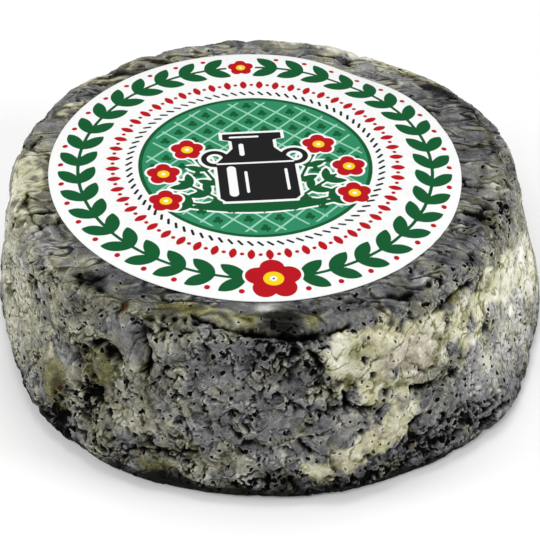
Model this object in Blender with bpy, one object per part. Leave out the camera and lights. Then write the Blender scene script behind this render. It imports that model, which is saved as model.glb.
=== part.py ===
"""A small ash-coated goat's cheese with a round paper label on its top.

The cheese is a low drum that widens towards its base. It has a flat base, a
soft upper edge and a creased rind, and its top sits a little off the centre
of the base. The label is a thin paper disc that follows the top.

Driving dimensions are in millimetres and bearings in degrees, anticlockwise
from +X as seen from above, so the front of the cheese is at -90. A place on
the rind is a bearing and a way: the distance in millimetres along the turned
profile, from the edge of the flat base up the side and in over the top. The
meshes are in metres.
"""
import math

import bmesh
import bpy
import numpy as np
from mathutils import Vector, noise

MM = 0.001

# The drum as turned: its widest radius low down, and the one at its shoulder
HEIGHT = 27.0
BASE_RADIUS = 44.6
TOP_RADIUS = 39.1
BASE_ROUND = 2.8
TOP_ROUND = 5.0
FLANK_HOLLOW = 0.3
TOP_SHIFT = (-1.8, -1.5)

# How far it is out of round: number of lobes, how far they stand out, bearing of one
BASE_LOBES = ((2, 0.6, -88), (3, 0.65, 27), (4, 0.5, -34), (5, 0.45, 20))
TOP_LOBES = ((2, 0.75, 38), (3, 0.35, 29), (4, 0.45, 28), (5, 0.4, 13))

# The top's own rise and fall
CROWN_WAVE = 28.0
CROWN_RISE = 0.3
# Dips in the top: bearing, distance from the top's centre, spread, depth
CROWN_DIPS = ((60, 32.0, 7.0, 0.9), (-20, 34.0, 6.0, 0.4))

# The rind's coarse relief
SWELL_WAVE = 11.0
SWELL_RISE = 0.35
FURROW_WAVE = 7.5
FURROW_DEPTH = 0.45
FURROW_WIDTH = 0.25
BASE_PLAIN = 0.6
BASE_FADE = 3.5

# Swellings and hollows: bearing, way, spread in degrees, spread up, height
SWELLINGS = (
    (-35, 4.5, 9, 5.0, 0.9),       # corner of the foot at the right
    (-58, 5.5, 8, 6.0, -0.45),     # hollow beside it
    (-77, 4.0, 9, 4.0, 0.4),       # foot at the front
    (-101, 4.0, 8, 4.0, -0.5),     # hollow at the front left
    (-137, 5.0, 12, 5.0, 0.45),    # foot at the left
    (-87, 32.0, 12, 2.5, 0.4),     # smooth ledge over the long crease
    (-121, 18.5, 6, 5.0, -0.6),    # hollow on the left
    (-122.5, 18.6, 2.6, 2.2, 0.5),  # boil in that hollow
    (76, 30.0, 8, 4.0, 0.3),       # rim at the back
    (10, 28.0, 10, 5.0, -0.4),     # rim at the right
)

# Creases and folds: half width, height (a crease is below zero), then a path of bearing and way
CREASES = (
    (2.2, -1.4, ((-102, 30.6), (-94, 29.8), (-87, 29.2), (-79, 28.8), (-70, 30.0))),
    (1.9, -1.0, ((-126, 20.5), (-123, 22.5), (-120, 22.5), (-118, 20.5), (-119, 16.5), (-123, 14.0))),
    (1.9, -1.0, ((-113, 28.0), (-112, 24.0), (-112, 20.5))),
    (2.0, 0.6, ((-117, 28.0), (-116, 24.5), (-115, 20.5))),
    (1.9, -1.0, ((-78, 16.8), (-75, 16.7), (-72, 16.8), (-72, 21.2))),
    (1.8, -0.7, ((-82, 12.0), (-80, 10.0))),
    (2.2, -0.9, ((-47, 29.0), (-42, 29.5), (-38, 28.2))),
    (2.2, -0.9, ((160, 28.5), (165, 27.5), (172, 27.5))),
    (2.0, -0.8, ((24, 30.5), (18, 29.0))),
    (2.0, -0.8, ((9, 29.5), (2, 27.5))),
)

# The label
LABEL_RADIUS = 30.75
LABEL_SHIFT = (-1.0, -0.3)
LABEL_THICKNESS = 0.3
LABEL_GAP = 0.3
LABEL_MARGIN = 0.4
LABEL_FADE = 2.0
LABEL_RINGS = 9
LABEL_COLUMNS = 72

# The net of the cheese's mesh
COLUMNS = 144
SIDE_STEP = 1.35
HIDDEN_RINGS = 6
TINY = 0.01

# The flank is the straight line that touches the two rounded edges
EDGE_RUN = (BASE_RADIUS - BASE_ROUND) - (TOP_RADIUS - TOP_ROUND)
EDGE_CLIMB = HEIGHT - BASE_ROUND - TOP_ROUND
EDGE_SPAN = math.hypot(EDGE_RUN, EDGE_CLIMB)
FLANK_LEAN = math.atan2(EDGE_RUN, EDGE_CLIMB) - math.asin((TOP_ROUND - BASE_ROUND) / EDGE_SPAN)
FLANK_LENGTH = math.sqrt(EDGE_SPAN ** 2 - (TOP_ROUND - BASE_ROUND) ** 2)
FLANK_START = BASE_ROUND * (math.pi / 2 + FLANK_LEAN)
FLANK_END = FLANK_START + FLANK_LENGTH
TOP_START = FLANK_END + TOP_ROUND * (math.pi / 2 - FLANK_LEAN)
TOP_END = TOP_START + TOP_RADIUS - TOP_ROUND
MEAN_RADIUS = (BASE_RADIUS + TOP_RADIUS) / 2


def clear_scene():
    """Remove every object that the scene starts with."""
    for item in list(bpy.data.objects):
        bpy.data.objects.remove(item)


def smooth_step(low, high, value):
    """0 below low, 1 above high and a smooth curve between them."""
    share = np.clip((value - low) / (high - low), 0.0, 1.0)
    return share * share * (3.0 - 2.0 * share)


def noise_at(points, wave, seed):
    """Blender's own noise at points in millimetres, for a wavelength, as an array."""
    offset = Vector((seed * 17.3, seed * 5.1, seed * 29.7))
    flat = (points / wave).reshape(-1, 3)
    values = [noise.noise(Vector(point) + offset) for point in flat]
    return np.array(values).reshape(points.shape[:-1])


def turned_profile(way):
    """Radius and height of the round drum at a way."""
    radius = np.empty_like(way)
    height = np.empty_like(way)

    foot = way < FLANK_START
    angle = way[foot] / BASE_ROUND - math.pi / 2
    radius[foot] = BASE_RADIUS - BASE_ROUND + BASE_ROUND * np.cos(angle)
    height[foot] = BASE_ROUND + BASE_ROUND * np.sin(angle)

    flank = (way >= FLANK_START) & (way < FLANK_END)
    climb = way[flank] - FLANK_START
    inset = FLANK_HOLLOW * (1 - np.cos(2 * math.pi * climb / FLANK_LENGTH)) / 2
    lean_sin = math.sin(FLANK_LEAN)
    lean_cos = math.cos(FLANK_LEAN)
    radius[flank] = BASE_RADIUS - BASE_ROUND + (BASE_ROUND - inset) * lean_cos - climb * lean_sin
    height[flank] = BASE_ROUND + (BASE_ROUND - inset) * lean_sin + climb * lean_cos

    shoulder = (way >= FLANK_END) & (way < TOP_START)
    angle = FLANK_LEAN + (way[shoulder] - FLANK_END) / TOP_ROUND
    radius[shoulder] = TOP_RADIUS - TOP_ROUND + TOP_ROUND * np.cos(angle)
    height[shoulder] = HEIGHT - TOP_ROUND + TOP_ROUND * np.sin(angle)

    top = way >= TOP_START
    radius[top] = TOP_RADIUS - TOP_ROUND - (way[top] - TOP_START)
    height[top] = HEIGHT
    return radius, height


def out_of_round(lobes, bearing):
    """How far a set of lobes stands out at a bearing."""
    return sum(rise * np.cos(count * (bearing - math.radians(first))) for count, rise, first in lobes)


def crown(x, y):
    """Rise and fall of the top, over which the label lies."""
    flat = np.stack([x, y, np.zeros_like(x)], axis=-1)
    rise = CROWN_RISE * noise_at(flat, CROWN_WAVE, 3)
    for bearing, distance, spread, depth in CROWN_DIPS:
        away_x = x - TOP_SHIFT[0] - distance * math.cos(math.radians(bearing))
        away_y = y - TOP_SHIFT[1] - distance * math.sin(math.radians(bearing))
        rise = rise - depth * np.exp(-(away_x ** 2 + away_y ** 2) / spread ** 2)
    return rise


def plain_skin(bearing, way):
    """Points of the drum with its lobes, shift and crown, but no relief."""
    radius, height = turned_profile(way)
    share = height / HEIGHT
    radius = radius * (1 + out_of_round(BASE_LOBES, bearing) / BASE_RADIUS * (1 - share)
                       + out_of_round(TOP_LOBES, bearing) / TOP_RADIUS * share)
    x = radius * np.cos(bearing) + TOP_SHIFT[0] * share
    y = radius * np.sin(bearing) + TOP_SHIFT[1] * share
    height = height + crown(x, y) * share ** 3
    return np.stack([x, y, height], axis=-1)


def outward(bearing, way):
    """Unit normals of the plain skin."""
    along = plain_skin(bearing + TINY, way) - plain_skin(bearing - TINY, way)
    upward = plain_skin(bearing, way + TINY) - plain_skin(bearing, way - TINY)
    normal = np.cross(along, upward)
    return normal / np.linalg.norm(normal, axis=-1, keepdims=True)


def turn_between(bearing, other):
    """Signed turn in radians from another bearing, given in degrees."""
    turn = bearing - math.radians(other)
    return (turn + math.pi) % (2 * math.pi) - math.pi


def swelling(bearing, way, place):
    """One round swelling or hollow."""
    centre, height, wide, tall, rise = place
    across = turn_between(bearing, centre) / math.radians(wide)
    up = (way - height) / tall
    return rise * np.exp(-across ** 2 - up ** 2)


def crease(bearing, way, half_width, rise, path):
    """A groove or a fold along a path, rounded at its ends."""
    nearest = np.full(bearing.shape, half_width)
    for start, end in zip(path, path[1:]):
        across = turn_between(bearing, start[0]) * MEAN_RADIUS
        up = way - start[1]
        run = math.radians(end[0] - start[0]) * MEAN_RADIUS
        climb = end[1] - start[1]
        share = np.clip((across * run + up * climb) / (run ** 2 + climb ** 2), 0.0, 1.0)
        nearest = np.minimum(nearest, np.hypot(across - share * run, up - share * climb))
    return rise * (1 - (nearest / half_width) ** 2) ** 2


def label_distance(x, y):
    """Distance from the label's centre."""
    return np.hypot(x - TOP_SHIFT[0] - LABEL_SHIFT[0], y - TOP_SHIFT[1] - LABEL_SHIFT[1])


def relief(bearing, way, points):
    """Height of the rind over the plain skin: none on the base and under the label."""
    furrow = np.abs(noise_at(points, FURROW_WAVE, 2)) / FURROW_WIDTH
    height = SWELL_RISE * noise_at(points, SWELL_WAVE, 1)
    height -= FURROW_DEPTH * np.clip(1 - furrow, 0.0, 1.0)
    height += sum(swelling(bearing, way, place) for place in SWELLINGS)
    height += sum(crease(bearing, way, *fold) for fold in CREASES)
    clear_of_base = smooth_step(BASE_PLAIN, BASE_FADE, way)
    bare_from = LABEL_RADIUS + LABEL_MARGIN
    distance = label_distance(points[..., 0], points[..., 1])
    clear_of_label = smooth_step(bare_from, bare_from + LABEL_FADE, distance)
    return height * clear_of_base * clear_of_label


def make_material(name, colour, roughness):
    """A Principled material with one colour."""
    material = bpy.data.materials.new(name)
    material.use_nodes = True
    shader = material.node_tree.nodes["Principled BSDF"]
    shader.inputs["Base Color"].default_value = (*colour, 1.0)
    shader.inputs["Roughness"].default_value = roughness
    shader.inputs["Metallic"].default_value = 0.0
    return material


def add_object(name, form, material):
    """Turn a bmesh into a named, smooth-shaded object."""
    mesh = bpy.data.meshes.new(name)
    form.to_mesh(mesh)
    form.free()
    mesh.shade_smooth()
    mesh.materials.append(material)
    item = bpy.data.objects.new(name, mesh)
    bpy.context.scene.collection.objects.link(item)
    return item


def fan(form, centre, ring):
    """Close a ring of vertices with triangles that meet at its centre."""
    for first, second in zip(ring, ring[1:] + ring[:1]):
        form.faces.new((centre, first, second))


def band(form, lower, upper):
    """Join two rings of vertices with triangles."""
    count = len(lower)
    for index in range(count):
        after = (index + 1) % count
        form.faces.new((lower[index], lower[after], upper[after]))
        form.faces.new((lower[index], upper[after], upper[index]))


def make_cheese():
    """The cheese: rings of vertices from the flat base up and in to the top's centre."""
    hidden_start = TOP_END - LABEL_RADIUS + LABEL_FADE
    side_rings = round(hidden_start / SIDE_STEP)
    ways = np.concatenate([np.linspace(0.0, hidden_start, side_rings, endpoint=False),
                           np.linspace(hidden_start, TOP_END, HIDDEN_RINGS, endpoint=False)])
    turns = np.linspace(-math.pi, math.pi, COLUMNS, endpoint=False)
    way, bearing = np.meshgrid(ways, turns, indexing="ij")
    plain = plain_skin(bearing, way)
    points = plain + outward(bearing, way) * relief(bearing, way, plain)[..., None]

    form = bmesh.new()
    rings = [[form.verts.new(point * MM) for point in ring] for ring in points]
    for lower, upper in zip(rings, rings[1:]):
        band(form, lower, upper)
    top_x, top_y = TOP_SHIFT
    top_height = HEIGHT + float(crown(np.array([top_x]), np.array([top_y]))[0])
    fan(form, form.verts.new((top_x * MM, top_y * MM, top_height * MM)), rings[-1])
    fan(form, form.verts.new((0.0, 0.0, 0.0)), rings[0][::-1])
    return add_object("cheese", form, make_material("ash rind", (0.24, 0.24, 0.21), 0.7))


def make_label():
    """The label: a sheet laid over the top, given its thickness by a Solidify modifier."""
    centre_x = TOP_SHIFT[0] + LABEL_SHIFT[0]
    centre_y = TOP_SHIFT[1] + LABEL_SHIFT[1]
    turns = np.linspace(-math.pi, math.pi, LABEL_COLUMNS, endpoint=False)
    radii = np.linspace(0.0, LABEL_RADIUS, LABEL_RINGS + 1)
    radius, bearing = np.meshgrid(radii, turns, indexing="ij")
    x = centre_x + radius * np.cos(bearing)
    y = centre_y + radius * np.sin(bearing)
    points = np.stack([x, y, HEIGHT + crown(x, y) + LABEL_GAP], axis=-1)

    form = bmesh.new()
    centre = form.verts.new(points[0, 0] * MM)
    rings = [[form.verts.new(point * MM) for point in ring] for ring in points[1:]]
    fan(form, centre, rings[0])
    for inner, outer in zip(rings, rings[1:]):
        band(form, outer, inner)
    label = add_object("label", form, make_material("label paper", (0.87, 0.87, 0.85), 0.55))
    sheet = label.modifiers.new("thickness", "SOLIDIFY")
    sheet.thickness = LABEL_THICKNESS * MM
    sheet.offset = 1.0
    return label


clear_scene()
make_cheese()
make_label()
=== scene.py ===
"""Looks of a small ash-coated goat's cheese with a round printed label.

The rind is one dense mesh on the same drum as the CAD solid, with the mould's
wrinkles and pits as real relief. The label is a printed paper disc laid over
the top. Lengths are in millimetres and angles in degrees until a mesh is made
in metres. A place on the rind is a bearing, anticlockwise from +X as seen from
above, and a way: the distance along the turned profile, from the edge of the
flat base up the side and in over the top. The front of the cheese is at -90.
"""
import math

import bpy
import numpy as np
from mathutils import Matrix, Vector, noise


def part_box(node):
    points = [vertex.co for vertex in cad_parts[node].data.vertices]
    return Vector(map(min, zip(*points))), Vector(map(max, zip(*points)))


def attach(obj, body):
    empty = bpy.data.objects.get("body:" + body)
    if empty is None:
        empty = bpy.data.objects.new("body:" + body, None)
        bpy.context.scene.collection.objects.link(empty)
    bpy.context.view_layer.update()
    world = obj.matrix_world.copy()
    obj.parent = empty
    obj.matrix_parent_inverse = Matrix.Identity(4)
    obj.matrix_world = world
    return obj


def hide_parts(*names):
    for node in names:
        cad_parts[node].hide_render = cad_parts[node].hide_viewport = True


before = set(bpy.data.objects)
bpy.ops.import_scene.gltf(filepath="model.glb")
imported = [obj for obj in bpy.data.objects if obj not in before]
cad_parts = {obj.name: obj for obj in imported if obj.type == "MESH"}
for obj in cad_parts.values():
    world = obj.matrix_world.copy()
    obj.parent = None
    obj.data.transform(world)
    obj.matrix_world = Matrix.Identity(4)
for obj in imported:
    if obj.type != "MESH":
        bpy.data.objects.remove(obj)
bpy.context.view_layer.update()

MM = 0.001
CHEESE_BOX = np.array(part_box("cheese")) / MM

# The drum, as in the CAD solid
HEIGHT = 27.0
BASE_RADIUS = 44.6
TOP_RADIUS = 39.1
BASE_ROUND = 2.8
TOP_ROUND = 5.0
FLANK_HOLLOW = 0.3
TOP_SHIFT = (-1.8, -1.5)
BASE_LOBES = ((2, 0.6, -88), (3, 0.65, 27), (4, 0.5, -34), (5, 0.45, 20))
TOP_LOBES = ((2, 0.75, 38), (3, 0.35, 29), (4, 0.45, 28), (5, 0.4, 13))
CROWN_WAVE = 28.0
CROWN_RISE = 0.3
CROWN_DIPS = ((60, 32.0, 7.0, 0.9), (-20, 34.0, 6.0, 0.4))
SWELL_WAVE = 11.0
SWELL_RISE = 0.35
FURROW_WAVE = 7.5
FURROW_DEPTH = 0.45
FURROW_WIDTH = 0.25
BASE_PLAIN = 0.6
BASE_FADE = 3.5
LABEL_RADIUS = 30.75
LABEL_SHIFT = (-1.0, -0.3)
TINY = 0.01

EDGE_RUN = (BASE_RADIUS - BASE_ROUND) - (TOP_RADIUS - TOP_ROUND)
EDGE_CLIMB = HEIGHT - BASE_ROUND - TOP_ROUND
EDGE_SPAN = math.hypot(EDGE_RUN, EDGE_CLIMB)
FLANK_LEAN = math.atan2(EDGE_RUN, EDGE_CLIMB) - math.asin((TOP_ROUND - BASE_ROUND) / EDGE_SPAN)
FLANK_LENGTH = math.sqrt(EDGE_SPAN ** 2 - (TOP_ROUND - BASE_ROUND) ** 2)
FLANK_START = BASE_ROUND * (math.pi / 2 + FLANK_LEAN)
FLANK_END = FLANK_START + FLANK_LENGTH
TOP_START = FLANK_END + TOP_ROUND * (math.pi / 2 - FLANK_LEAN)
TOP_END = TOP_START + TOP_RADIUS - TOP_ROUND
MEAN_RADIUS = (BASE_RADIUS + TOP_RADIUS) / 2

# Swellings and hollows, as in the CAD solid: bearing, way, spread in degrees, spread up, height
SWELLINGS = (
    (-35, 4.5, 9, 5, 0.9), (-58, 5.5, 8, 6, -0.45), (-77, 4, 9, 4, 0.4), (-101, 4, 8, 4, -0.5),
    (-137, 5, 12, 5, 0.45), (-87, 32, 12, 2.5, 0.4), (-121, 18.5, 6, 5, -0.6),
    (-122.5, 18.6, 2.6, 2.2, 0.5), (76, 30, 8, 4, 0.3), (10, 28, 10, 5, -0.4),
)
# Broad creases along the CAD solid's paths, less deep than there: half width, height, path
CREASES = (
    (2.2, -0.8, ((-102, 30.6), (-94, 29.8), (-87, 29.2), (-79, 28.8), (-70, 30))),
    (1.9, -0.7, ((-126, 20.5), (-123, 22.5), (-120, 22.5), (-118, 20.5), (-119, 16.5), (-123, 14))),
    (1.9, -0.6, ((-113, 28), (-112, 24), (-112, 20.5))),
    (2, 0.5, ((-117, 28), (-116, 24.5), (-115, 20.5))),
    (1.9, -0.6, ((-78, 16.8), (-75, 16.7), (-72, 16.8), (-72, 21.2))),
    (1.8, -0.5, ((-82, 12), (-80, 10))),
    (2.2, -0.7, ((-47, 29), (-42, 29.5), (-38, 28.2))),
    (2.2, -0.9, ((160, 28.5), (165, 27.5), (172, 27.5))),
    (2, -0.8, ((24, 30.5), (18, 29))),
    (2, -0.8, ((9, 29.5), (2, 27.5))),
)
# Cracks in them and elsewhere, sunk and painted black as the shade in them: half width, depth, path
CRACKS = (
    (0.6, 0.4, ((-104, 31.2), (-98, 30.2), (-94, 29.8))),
    (0.9, 1, ((-94, 29.8), (-88, 29.3), (-83, 28.9), (-79, 28.8), (-75, 29.2))),
    (0.9, 0.8, ((-87, 27.4), (-86, 26.2), (-84.5, 25.5), (-83, 26), (-82.3, 27.2))),
    (0.8, 0.7, ((-81.6, 25.2), (-83, 23.8), (-83.5, 21.8))),
    (0.8, 0.7, ((-79, 26.6), (-78.4, 25.2), (-77.4, 23.8))),
    (0.8, 0.7, ((-75, 29.2), (-70, 30))),
    (0.9, 0.9, ((-126.5, 20.3), (-124, 21.8), (-122, 22.8), (-120, 22.3), (-118.3, 20.6))),
    (1, 0.9, ((-127.5, 18.2), (-127.5, 14))),
    (1.1, 1, ((-126.6, 14.4), (-124.8, 13.4), (-122.8, 12.9))),
    (0.7, 0.8, ((-113.5, 27.8), (-113.2, 26), (-111.6, 24.2), (-111.4, 22.2), (-112, 20.6))),
    (0.55, 0.8, ((-79, 16.6), (-77, 16.4), (-75, 16.9), (-72, 16.8), (-68, 16))),
    (0.9, 1, ((-73.2, 17), (-73, 18.6))),
    (0.6, 0.7, ((-82.5, 12.2), (-81, 10.2))),
    (0.7, 0.7, ((-64, 8.6), (-61, 10), (-60, 11.8), (-58, 12.1))),
    (0.7, 0.7, ((-50, 17), (-48, 15.4), (-54, 16.3), (-59, 17.1))),
    (0.6, 0.6, ((-48, 4.8), (-41, 5.8), (-37, 5))),
    (0.5, 0.3, ((-112, 8.4), (-107, 9), (-102, 9.8))),
    (0.7, 0.6, ((-134, 31.2), (-130, 31.6), (-128, 33.4))),
    (0.5, 0.4, ((-166, 31), (-158, 31.2), (-151, 31.6))),
    (0.6, 0.6, ((-51, 27), (-44, 27.3), (-36, 26.6))),
)
# Single holes, sunk and painted black as the shade in them: bearing, way, spread in degrees, spread up
HOLES = (
    (-144, 24, 1.3, 1.6), (-142.5, 22, 0.8, 0.9), (-131.5, 30.5, 1.3, 0.8), (-129, 32.8, 1.6, 0.8),
    (-126, 31, 1.2, 0.7), (-112.5, 29.3, 1, 0.7), (-110, 29.9, 0.7, 0.6), (-107.5, 30.1, 1.1, 0.7),
    (-105, 30, 0.7, 0.6), (-102.5, 30.2, 1.1, 0.7), (-103.5, 28.6, 1.6, 0.4), (-21.5, 25, 0.9, 0.9),
    (-18.5, 31.5, 0.7, 1.2), (-25.5, 32, 0.6, 1.3), (173, 30.5, 1.6, 1.2), (-119.3, 29.7, 0.6, 1.1),
    (-95, 16.5, 0.6, 0.9), (-100, 26.5, 0.8, 0.6), (66, 33.2, 2.5, 0.8), (-130.5, 6.8, 2.2, 1.5),
    (-119.6, 16.5, 0.5, 0.4), (-123.5, 14.2, 1, 1), (-120.6, 21.2, 1.2, 0.9),
)
RUST_PATCHES = (
    (-118.5, 29.8, 0.9, 1.4, 1), (-132.2, 11.4, 1, 1.7, 0.6),
)
# Smooth raised folds, with painted light on them by their height: half width, height, path
FOLDS = (
    (1.1, 0.6, ((-116.4, 27.6), (-115.4, 25), (-113.8, 21.6))),
    (1.6, 0.4, ((-119.8, 26.8), (-118.6, 25.4))),
    (0.5, 0.45, ((-126, 21), (-123, 20.4), (-120.4, 21), (-119.2, 19.6))),
    (0.5, 0.5, ((-117.6, 20.8), (-116.4, 18.6), (-115.6, 16.4), (-116.8, 15.4))),
    (1.3, 0.5, ((-42, 31.6), (-39, 30.2), (-36, 28.8))),
    (1.2, 0.5, ((-47.5, 31.6), (-45, 30.5), (-43, 29.5))),
    (0.7, 0.4, ((-54, 33.3), (-49.5, 31.8), (-46.5, 29.8))),
    (0.7, 0.6, ((-5.5, 31.6), (-6.2, 30.2), (-5.5, 28.6))),
    (1.4, 0.4, ((-76, 34.6), (-72, 34.4))),
    (1.5, 0.4, ((-65, 24.5), (-62, 22.4))),
    (1.4, 0.4, ((-58.5, 23.5), (-56.5, 21.5))),
    (1.5, 0.4, ((-63, 19.8), (-58.5, 18.8))),
    (0.8, 0.4, ((-42.5, 20.5), (-40.5, 16.5))),
)
# The curl under the left swelling, with painted light on it like the folds: bearing, way, ring radius, half
# width, height
CURL = (-119.6, 16.5, 0.95, 0.35, 0.45)

# Patches on the rind: bearing, way, spread in degrees, spread up, strength
CREAM_PATCHES = (
    (-72, 25, 5, 5, 1.1), (-64, 24.5, 6, 5, 1.1), (-57, 23.5, 6, 4.5, 1.1), (-51, 23, 5, 4, 1),
    (-68, 19.5, 3.5, 3, 0.9), (-62, 18.5, 4, 3, 0.9), (-65, 16, 3.5, 2, 0.6), (-44, 23, 6, 3.5, 1),
    (-36, 22.5, 6, 4, 1), (-40, 18.3, 4, 1.6, 0.9), (-28, 22, 6, 4.5, 1), (-20, 19.5, 7, 5.5, 1),
    (-12, 16, 7, 6, 0.9), (-3, 13, 8, 7, 0.7), (-79.5, 7.3, 3.4, 2.2, 1), (-74, 8.8, 4.6, 2.5, 1),
    (-68.5, 10.8, 4.2, 2.7, 1), (-64, 13, 3.6, 2.8, 1), (-60.5, 13.6, 2.5, 1.8, 0.8),
    (-172.5, 29.6, 10.5, 3.8, 1), (-160, 29.5, 8, 2.5, 0.5), (-172, 33.2, 8, 0.8, 0.8),
    (158, 33, 7, 2.5, 0.5), (-137.5, 15, 4, 2.6, 0.4), (-123, 19, 2.4, 2.6, 0.5),
)
OLIVE_PATCHES = (
    (-92.5, 31.4, 5, 1.3, 1.1), (-77, 31.3, 3.4, 1.6, 1), (-104, 32.2, 10, 1.5, 1),
    (-71, 25.5, 3, 3, 0.8), (-50, 21.6, 3.4, 1.6, 0.8), (-122.8, 18.4, 3, 3.2, 1.7),
    (-134, 11.6, 3.2, 3.8, 1.6), (-131.5, 8, 2, 2, 1.1), (-110, 6.2, 4, 1.1, 1),
    (-106, 9.2, 5, 0.9, 0.8), (-72.3, 20.8, 1.3, 2, 1.2), (-62, 18.2, 2.4, 1.2, 1),
    (-52.5, 21, 2.4, 2.4, 0.9), (-43, 27, 8, 0.9, 0.9), (-110.5, 31.6, 2.6, 0.8, 0.9),
    (-31, 23.2, 2.2, 1, 0.8), (-18, 30.5, 7, 2, 0.7), (-157, 31.2, 8, 0.8, 0.7),
)
WARM_PATCHES = (
    (-160, 18, 24, 14, 1), (-170, 30, 20, 6, 1.2), (-135, 27, 14, 6, 0.7), (-122, 17, 10, 12, 0.9),
    (-104, 7, 12, 5, 0.7), (-112, 30.5, 10, 3, 0.8), (-60, 21.5, 16, 6.5, 0.9), (-25, 22.5, 16, 6.5, 1),
    (-4, 16, 12, 12, 0.9), (5, 31, 20, 3, 0.6), (-92, 31.5, 14, 2.5, 0.7), (120, 33.5, 40, 3, 0.6),
)
# Where the painted shade at the foot starts lower, by as many millimetres as the strength
FOOT_SHADE_LOWERED = (
    (-45, 4, 17, 8, 2.1), (-74, 4, 9, 8, 0.2), (-12, 4, 12, 8, 1.2), (-165, 4, 12, 8, 1),
    (-123, 4, 7, 8, 1.8),
)
BLUSH_PATCHES = (
    (-57, 22.3, 7, 4, 1.1), (-63.5, 22.8, 4, 3.2, 0.9), (-57.5, 19.5, 3, 2, 0.9),
    (-137, 14.6, 3, 2.4, 0.6), (-76, 8.2, 8, 3, 0.6), (-66, 12.5, 6, 4, 0.6),
    (-68, 24.5, 1.6, 1.2, 0.7), (-172, 31.5, 4, 1.5, 0.5),
)
# Pale patches; the strongest, on the front ledge below the label, is a painted highlight
PALE_AND_HIGHLIGHT_PATCHES = (
    (-38, 13, 9, 6, 0.8), (-25, 13.5, 12, 9, 1), (-8, 15, 12, 12, 0.75), (-87, 10.5, 6, 1.8, 0.4),
    (-160, 18, 22, 12, 0.8), (-172, 30, 14, 5, 0.35), (-88.5, 34, 2.4, 1, 2.4),
    (-73, 25.5, 3.5, 3.5, 0.6), (80, 32.5, 50, 4, 0.5), (138, 33.8, 8, 1.6, 0.3),
    (-5.5, 30.6, 1.2, 1.6, 1.3), (-40.5, 17.6, 1.6, 0.9, 1.1),
)
# Dark patches: dark mould, and painted shade where they lie on smooth skin, as on the front ledge below the
# label
DARK_AND_SHADE_PATCHES = (
    (-88, 27.2, 6, 2.2, 0.8), (-80, 28.2, 4, 1.5, 0.9), (-91, 25.5, 4, 2, 0.7),
    (-83, 24.5, 5, 2.5, 0.5), (-78, 23.5, 2.5, 4, 0.8), (-75, 17, 3.5, 1.5, 0.9), (-58, 7.6, 9, 3, 1.2),
    (-50, 8.5, 7, 3, 1.1), (-68, 5, 9, 2.2, 1), (-43, 6.6, 8, 2.6, 1), (-88, 6.2, 9, 2, 0.7),
    (-48, 17, 4, 1.5, 0.7), (-125, 13, 4.5, 5.5, 1), (-127, 19.5, 2.5, 3.5, 0.9),
    (-122, 22.5, 4, 1.3, 0.9), (-131, 6.5, 4, 2.4, 1.4), (-131.5, 10.5, 2.3, 3, 1.4),
    (-122, 6.5, 9, 2.6, 0.6), (-143.5, 24, 3.5, 2.8, 0.8), (-155, 6.5, 8, 2.5, 0.5),
    (-130, 31.8, 4.5, 1.8, 1.1), (-65, 34.5, 8, 1.8, 0.6), (-52, 34, 8, 2.4, 0.7),
    (-40, 32, 10, 3, 0.5), (-22, 31.5, 12, 3.5, 0.7), (-12, 27.5, 9, 2.2, 0.9), (-2, 33.5, 9, 1, 0.7),
    (-84.5, 31.2, 5, 1.8, 1.8), (-93, 31.3, 4, 1.2, 0.6), (122, 33.6, 3.5, 1.4, 0.8),
    (-40.5, 30.4, 3, 1.4, 0.9), (-45, 30.5, 2.6, 1.1, 0.9), (-17.5, 28.6, 4, 2.6, 1.1),
    (-8.5, 29.4, 2, 1.2, 0.9), (23, 30.6, 4, 1.6, 0.8), (-17.5, 26.8, 2, 1.4, 1),
    (-163, 30.8, 3, 0.8, 0.8), (-153, 32.8, 3, 0.9, 0.8), (-149, 34.2, 4, 0.8, 0.8),
    (-33, 29.6, 3, 1.2, 0.8), (-54, 31.4, 3, 1.2, 0.8), (-75.5, 34.5, 2.4, 0.9, 0.9),
    (-96, 25.2, 3, 1.2, 0.9), (30, 31.5, 12, 2.2, 0.6), (172, 31, 4, 1.6, 0.6), (8, 32, 14, 3, 0.4),
    (39, 32.2, 5, 1.3, 0.9), (27, 31.8, 4, 1.3, 1), (9, 30.8, 6, 1.4, 1.1), (-3, 29.6, 4.5, 1.3, 1.1),
    (53, 30.6, 7, 1.3, 1), (35, 31.2, 6, 1.6, 0.8), (18, 30.8, 4, 1, 0.7), (-9, 28.6, 5, 1.6, 0.8),
)
SMOOTH_PATCHES = (
    (-88, 33.5, 13, 2, 1), (-84.5, 31.3, 6.5, 2.2, 1), (-117, 25, 4, 3.2, 0.9),
    (-122.8, 18.8, 2.6, 3, 0.9), (-110, 6.2, 3.5, 1.2, 0.8), (-135, 12.6, 4, 4.6, 0.7),
    (95, 32.5, 34, 4, 0.6), (-60, 33, 12, 2.5, 0.35), (-172, 31, 14, 5, 0.8),
)
STAINS_AND_PAINTED_LIGHT = {"cream": CREAM_PATCHES, "olive": OLIVE_PATCHES, "warm": WARM_PATCHES, "blush": BLUSH_PATCHES,
          "pale": PALE_AND_HIGHLIGHT_PATCHES, "dark": DARK_AND_SHADE_PATCHES, "smooth": SMOOTH_PATCHES}
# How much cover begins a patch, how much fills it, and how far speckles break up its edge
PATCH_EDGES = {"cream": (0.3, 0.75, 0.45), "dark": (0.2, 0.9, 0.4), "olive": (0.3, 0.9, 0.3),
               "warm": (-0.15, 0.8, 0.4), "blush": (0.3, 0.9, 0.3)}
# Where the wrinkles differ: a seed, their tilt from level, a bearing to measure from, how close
# they lie along the tilt and across it, and patches
OTHER_WRINKLES = (
    (80, 38, -160, 0.36, 1.2, ((-163, 17, 20, 13, 0.9),)),
    (120, -20, -10, 1, 1.4, ((-10, 16, 15, 12, 1),)),
    (140, 0, -50, 1.25, 1.35, ((-50, 8, 15, 4, 1),)),
)
EVEN_SEED = 100
EVEN_CLOSENESS = 1.15
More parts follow.
